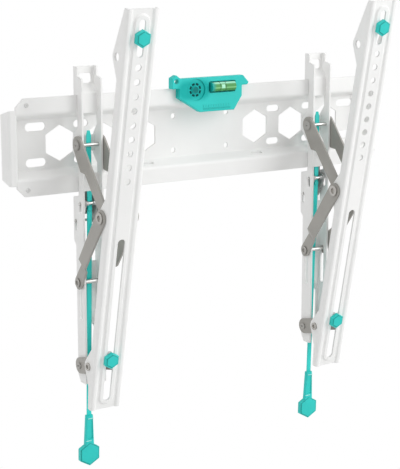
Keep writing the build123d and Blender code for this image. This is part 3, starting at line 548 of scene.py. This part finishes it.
# %% Shapes by rule
class Shape(Maker):
    """A Geometry Nodes tree under construction, with named inputs for its sizes."""

    kinds = {int: "NodeSocketInt", float: "NodeSocketFloat", tuple: "NodeSocketVector"}

    def __init__(self, name, **sizes):
        super().__init__(bpy.data.node_groups.new(name, "GeometryNodeTree"))
        sockets = self.tree.interface
        sockets.new_socket("Geometry", in_out="OUTPUT", socket_type="NodeSocketGeometry")
        for label, value in sizes.items():
            kind = self.kinds[type(value)]
            sockets.new_socket(label, in_out="INPUT", socket_type=kind).default_value = value
        self.sizes = self.tree.nodes.new("NodeGroupInput")

    def size(self, label):
        """One of the tree's named inputs."""
        return Sock(self.tree, self.sizes.outputs[label])

    def end(self, geometry, material):
        """Turns copies into real mesh, gives them their finish and closes the tree."""
        real = self.node("GeometryNodeRealizeInstances", None, {0: geometry})
        done = self.node(
            "GeometryNodeSetMaterial", None, {"Geometry": real, "Material": material}
        )
        out = self.tree.nodes.new("NodeGroupOutput")
        self.tree.links.new(done.socket, out.inputs[0])

    def move(self, geometry, **changes):
        """Turns and moves a geometry."""
        return self.node("GeometryNodeTransform", None, {"Geometry": geometry, **changes})

    def copies(self, points, piece, **changes):
        """Puts a copy of a piece on every point."""
        return self.node(
            "GeometryNodeInstanceOnPoints", None,
            {"Points": points, "Instance": piece, **changes},
        )

    def row(self, count, start, pitch):
        """Points along X."""
        step = self.node("ShaderNodeCombineXYZ", None, {0: pitch})
        return self.node(
            "GeometryNodeMeshLine", None,
            {"Count": count, "Start Location": start, "Offset": step},
        )

    def circle(self, steps, radius):
        """A round curve."""
        return self.node(
            "GeometryNodeCurvePrimitiveCircle", None, {"Resolution": steps, "Radius": radius}
        )

    def grow(self, name, body, slot, **sizes):
        """Makes a plain mesh from the tree with some sizes changed, and puts it on a body."""
        piece = bpy.data.objects.new(name, bpy.data.meshes.new(name))
        scene.collection.objects.link(piece)
        rule = piece.modifiers.new("rule", "NODES")
        rule.node_group = self.tree
        for socket in self.tree.interface.items_tree:
            if socket.in_out == "INPUT" and socket.name in sizes:
                rule[socket.identifier] = sizes[socket.name]
        seen = piece.evaluated_get(bpy.context.evaluated_depsgraph_get())
        piece.data = bpy.data.meshes.new_from_object(seen)
        piece.modifiers.remove(rule)
        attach(piece, body)
        print(name, len(piece.data.polygons), "faces")


origin = (0.0, 0.0, 0.0)
sides = ("left", "right")

# %% [markdown]
# Ticks on the level
#
# The foot of the level is moulded with a short scale. A tick is a low bar, and a row is that bar on
# every point of a line. The bar is sunk by half into the face so that no gap shows under it. The
# upper row has every second tick.

# %% Tick rows
face_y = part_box("level_body")[0][1]
tick_pitch, tick_count, tick_bar = 0.0016, 22, (0.0005, 0.0006, 0.0022)
tick_x, low_row_z, high_row_z = -0.0100, 0.0266, 0.0298

ticks = Shape("tick_row", Start=origin, Pitch=tick_pitch, Count=tick_count, Bar=tick_bar)
line = ticks.row(ticks.size("Count"), ticks.size("Start"), ticks.size("Pitch"))
bar = ticks.node("GeometryNodeMeshCube", None, {"Size": ticks.size("Bar")})
ticks.end(ticks.copies(line, bar), tick_teal)
ticks.grow(
    "level_ticks_low", "wall_plate", "teal_plastic",
    Start=(tick_x, face_y, low_row_z),
)
ticks.grow(
    "level_ticks_high", "wall_plate", "teal_plastic",
    Start=(tick_x, face_y, high_row_z), Count=tick_count // 2, Pitch=tick_pitch * 2,
)

# %% [markdown]
# Vents round the hub
#
# Eight short slots stand round the level's hub, and they read as dark because nothing behind them
# is lit. A dark bar flush with the dish in each slot does the same at any angle of light. The bars
# are copies on a circle of points, each turned by its share of a full turn.

# %% Dark vents
vent_count, vent_radius, vent_bar = 8, 0.0062, (0.0022, 0.0006, 0.0034)
dish_depth, vent_stand = 0.0012, 0.00005

vents = Shape("vents", Middle=origin, Radius=vent_radius, Bar=vent_bar)
points = vents.node(
    "GeometryNodeMeshCircle", None, {"Vertices": vent_count, "Radius": vents.size("Radius")}
)
points = vents.move(points, Rotation=(pi / 2, 0.0, 0.0))
turn = vents.node("GeometryNodeInputIndex") * (-2 * pi / vent_count)
turned = vents.node("ShaderNodeCombineXYZ", None, {1: turn})
bar = vents.node("GeometryNodeMeshCube", None, {"Size": vents.size("Bar")})
bars = vents.copies(points, bar, Rotation=turned)
bars = vents.move(
    bars, Rotation=(0.0, -pi / vent_count, 0.0), Translation=vents.size("Middle")
)
vents.end(bars, vent_teal)
vent_y = face_y + dish_depth - vent_stand + vent_bar[1] / 2
vents.grow("level_vents", "wall_plate", "dark_plastic", Middle=(hub_x, vent_y, hub_z))

# %% [markdown]
# Ridges on the handles
#
# Each handle's sleeve has a low ridge at both ends of its panel, painted pale as a painted
# highlight where the panel's edges catch the light. A ridge lies on the sleeve's front, which
# leans, so a ray from the front finds how far forward it is.

# %% Handle ridges
ridge_bar = (0.0062, 0.0008, 0.0009)
ridge_places = {"top": (0.0036, 0.0008), "foot": (0.0285, -0.0016)}

ridge = Shape("ridge", Middle=origin, Bar=ridge_bar)
bar = ridge.node("GeometryNodeMeshCube", None, {"Size": ridge.size("Bar")})
ridge.end(ridge.move(bar, Translation=ridge.size("Middle")), ridge_teal)
for side in sides:
    sleeve = f"{side}_pull_handle"
    sleeve_x, sleeve_top = middle_of(sleeve)[0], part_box(sleeve)[1][2]
    for word, (down, shift) in ridge_places.items():
        height = sleeve_top - down
        spot, _ = front_of(sleeve, sleeve_x, height)
        ridge.grow(
            f"{side}_{word}_ridge", f"{side}_release", "teal_plastic",
            Middle=(sleeve_x + shift, spot.y, height),
        )

# %% [markdown]
# Raised faces
#
# Each thumb screw and each tag ends in a six sided face that stands proud of a rim, and the rim is
# painted dark teal as painted shade round the face. Both are low blocks with sloping sides. The
# faces lean, so a ray from the front gives the spot and the slope they are laid on.

# %% Rims and faces
rim_height, face_height, rim_width, sunk = 0.00040, 0.00055, 0.00085, 0.00005
knob_share, tag_share = 0.86, 0.955


def hexagon(name, finish):
    """A low six sided block with sloping sides and a corner at its top."""
    shape = Shape(name, Middle=origin, Lean=0.0, Foot=0.008, Top=0.007, Height=0.0006)
    block = shape.node(
        "GeometryNodeMeshCone", None,
        {
            "Vertices": 6, "Radius Bottom": shape.size("Foot"),
            "Radius Top": shape.size("Top"), "Depth": shape.size("Height"),
        },
    )
    block = shape.move(block, Rotation=(0.0, 0.0, pi / 6))
    lean = shape.node("ShaderNodeCombineXYZ", None, {0: shape.size("Lean")})
    shape.end(shape.move(block, Rotation=lean, Translation=shape.size("Middle")), finish)
    return shape


# The rims' dark teal is painted shade.
rim, face = hexagon("rim", rim_teal), hexagon("face", teal)
knobs = [f"{side}_{end}_knob" for side in sides for end in ("top", "low")]
faces = [(knob, knob, knob_share) for knob in knobs]
faces += [(f"{side}_pull_handle", f"{side}_release", tag_share) for side in sides]
for solid_name, body, share in faces:
    low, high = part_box(solid_name)
    corner = (high[0] - low[0]) / 3 ** 0.5
    spot, normal = front_of(solid_name, middle_of(solid_name)[0], low[2] + corner)
    laid = {"Middle": tuple(spot - normal * sunk), "Lean": atan2(-normal.y, normal.z)}
    outer = corner * share
    inner = outer - rim_width
    rim.grow(
        f"{solid_name}_rim", body, "teal_plastic",
        Foot=outer, Top=outer - rim_height, Height=rim_height + sunk, **laid,
    )
    face.grow(
        f"{solid_name}_face", body, "teal_plastic",
        Foot=inner, Top=inner - rim_height / 2, Height=face_height + sunk, **laid,
    )

# %% [markdown]
# Rings on the vial
#
# Two thin rings show where the bubble has to stand. A circle swept round a larger circle gives a
# ring, and the two are copies on a line again, turned so that they lie round the tube.

# %% Vial rings
ring_spacing, ring_wire = 0.007, 0.00022
ring_steps, wire_steps = 40, 8

rings = Shape("vial_rings", Start=origin, Spacing=ring_spacing, Radius=0.0049, Wire=ring_wire)
hoop = rings.circle(ring_steps, rings.size("Radius"))
wire = rings.circle(wire_steps, rings.size("Wire"))
ring = rings.node("GeometryNodeCurveToMesh", None, {"Curve": hoop, "Profile Curve": wire})
ring = rings.move(ring, Rotation=(0.0, pi / 2, 0.0))
line = rings.row(2, rings.size("Start"), rings.size("Spacing"))
rings.end(rings.copies(line, ring), dark_plastic)
_, vial_y, vial_z = middle_of("level_vial")
rings.grow(
    "vial_rings", "wall_plate", "dark_plastic",
    Start=(bubble_x - ring_spacing / 2, vial_y, vial_z), Radius=vial_thick / 2,
)

# %% [markdown]
# Return springs
#
# A latch that drops needs something to lift it again: two close coils of wire on its upper pin, one
# each side of the strip. Geometry Nodes have a spiral curve, and sweeping a small circle along it
# gives the wire.

# %% Latch springs
coil_turns, coil_steps = 4.5, 20
coil_radius, coil_wire, coil_width, coil_gap = 0.0021, 0.00032, 0.003, 0.0028
pin_radius = 0.0015
coil_starts = {"outer": -coil_gap - coil_width, "inner": coil_gap}

coil = Shape(
    "latch_coil", Middle=origin, Turns=coil_turns,
    Radius=coil_radius, Wire=coil_wire, Width=coil_width,
)
spiral = coil.node(
    "GeometryNodeCurveSpiral", None,
    {
        "Resolution": coil_steps, "Rotations": coil.size("Turns"),
        "Start Radius": coil.size("Radius"), "End Radius": coil.size("Radius"),
        "Height": coil.size("Width"),
    },
)
wire = coil.circle(wire_steps, coil.size("Wire"))
turns = coil.node(
    "GeometryNodeCurveToMesh", None,
    {"Curve": spiral, "Profile Curve": wire, "Fill Caps": True},
)
turns = coil.move(turns, Rotation=(0.0, pi / 2, 0.0), Translation=coil.size("Middle"))
coil.end(turns, spring_steel)
for side in sides:
    pin_low, pin_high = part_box(f"{side}_latch_pins")
    pins_x = middle_of(f"{side}_latch_pins")[0]
    pin_y, pin_z = pin_low[1] + pin_radius, pin_high[2] - pin_radius
    for word, start in coil_starts.items():
        coil.grow(
            f"{side}_{word}_coil", f"{side}_release", "pin_steel",
            Middle=(pins_x + start, pin_y, pin_z),
        )

# %% [markdown]
# The studio
#
# The bracket hangs on a white page, so the floor and the world are white to the camera and plain
# to the bracket. A broad lamp from the right lights the faces, a weaker one behind the left side
# lights the folded edges, a small one above lights the tops, and one beside the camera reaches into
# the channels. The world adds an even sky. Together they keep the brightest coat just below the
# picture's white.

# %% Floor
floor_half, floor_drop = 6, 0.05
pure_white = (1, 1, 1, 1)

floor_mesh = bpy.data.meshes.new("floor")
corners = [(x * floor_half, y * floor_half, 0) for x, y in ((-1, -1), (1, -1), (1, 1), (-1, 1))]
floor_mesh.from_pydata(corners, [], [(0, 1, 2, 3)])
floor = bpy.data.objects.new("floor", floor_mesh)
floor.location.z = solid_box[0][2] - floor_drop
scene.collection.objects.link(floor)
print("floor at", round(floor.location.z, 3), "m")


# %% White page
def white_to_camera(tree, shader, page):
    """Shows a plain page to the camera and to mirrors, and the shader to every other ray."""
    path = tree.nodes.new("ShaderNodeLightPath")
    seen = Sock(tree, path.outputs["Is Camera Ray"])
    for ray in ("Is Glossy Ray", "Is Transmission Ray"):
        seen = seen.math("MAXIMUM", Sock(tree, path.outputs[ray]))
    mixer = tree.nodes.new("ShaderNodeMixShader")
    tree.links.new(seen.socket, mixer.inputs[0])
    tree.links.new(shader, mixer.inputs[1])
    tree.links.new(page, mixer.inputs[2])
    return mixer.outputs[0]


paper_scale = 3.0
paper = Finish("paper")
paper_grain = paper.noise(paper_scale, broad_detail) * 0.5
paper_colour = paper.mix(paper_grain, (0.86, 0.86, 0.86, 1), (0.90, 0.90, 0.90, 1))
paper.set(Base_Color=paper_colour, Roughness=0.9)
page = paper.tree.nodes.new("ShaderNodeEmission")
page.inputs["Color"].default_value = pure_white
shown = white_to_camera(paper.tree, paper.shader.outputs[0], page.outputs[0])
paper.tree.links.new(shown, paper.tree.nodes["Material Output"].inputs["Surface"])
floor_mesh.materials.append(paper.material)

# %% World
sky_strength = 0.45

world = bpy.data.worlds.new("studio")
scene.world = world
world.use_nodes = True
sky = world.node_tree.nodes["Background"]
sky.inputs["Color"].default_value = pure_white
sky.inputs["Strength"].default_value = sky_strength
page_sky = world.node_tree.nodes.new("ShaderNodeBackground")
page_sky.inputs["Color"].default_value = pure_white
shown = white_to_camera(world.node_tree, sky.outputs[0], page_sky.outputs[0])
world.node_tree.links.new(shown, world.node_tree.nodes["World Output"].inputs["Surface"])
print("sky strength:", sky_strength)

# %% Lamps
lamp_aim = (0, 0, -0.1)
lamps = {
    "key": {"place": (1.9, -1.8, 1.0), "size": 2.4, "power": 49.0},
    "edge": {"place": (-2.3, 0.8, 0.6), "size": 1.6, "power": 9.0},
    "fill": {"place": (-0.9, -0.6, 2.1), "size": 1.2, "power": 10.0},
    "front": {"place": (-1.3, -2.0, 0.2), "size": 1.0, "power": 2.5},
}
for name, lamp in lamps.items():
    light = bpy.data.lights.new(name, "AREA")
    light.size = lamp["size"]
    light.energy = lamp["power"]
    stand = bpy.data.objects.new(name, light)
    scene.collection.objects.link(stand)
    stand.location = lamp["place"]
    stand.rotation_euler = facing(lamp["place"], lamp_aim)
print("lamps:", ", ".join(lamps))

scene.view_settings.view_transform = "Standard"
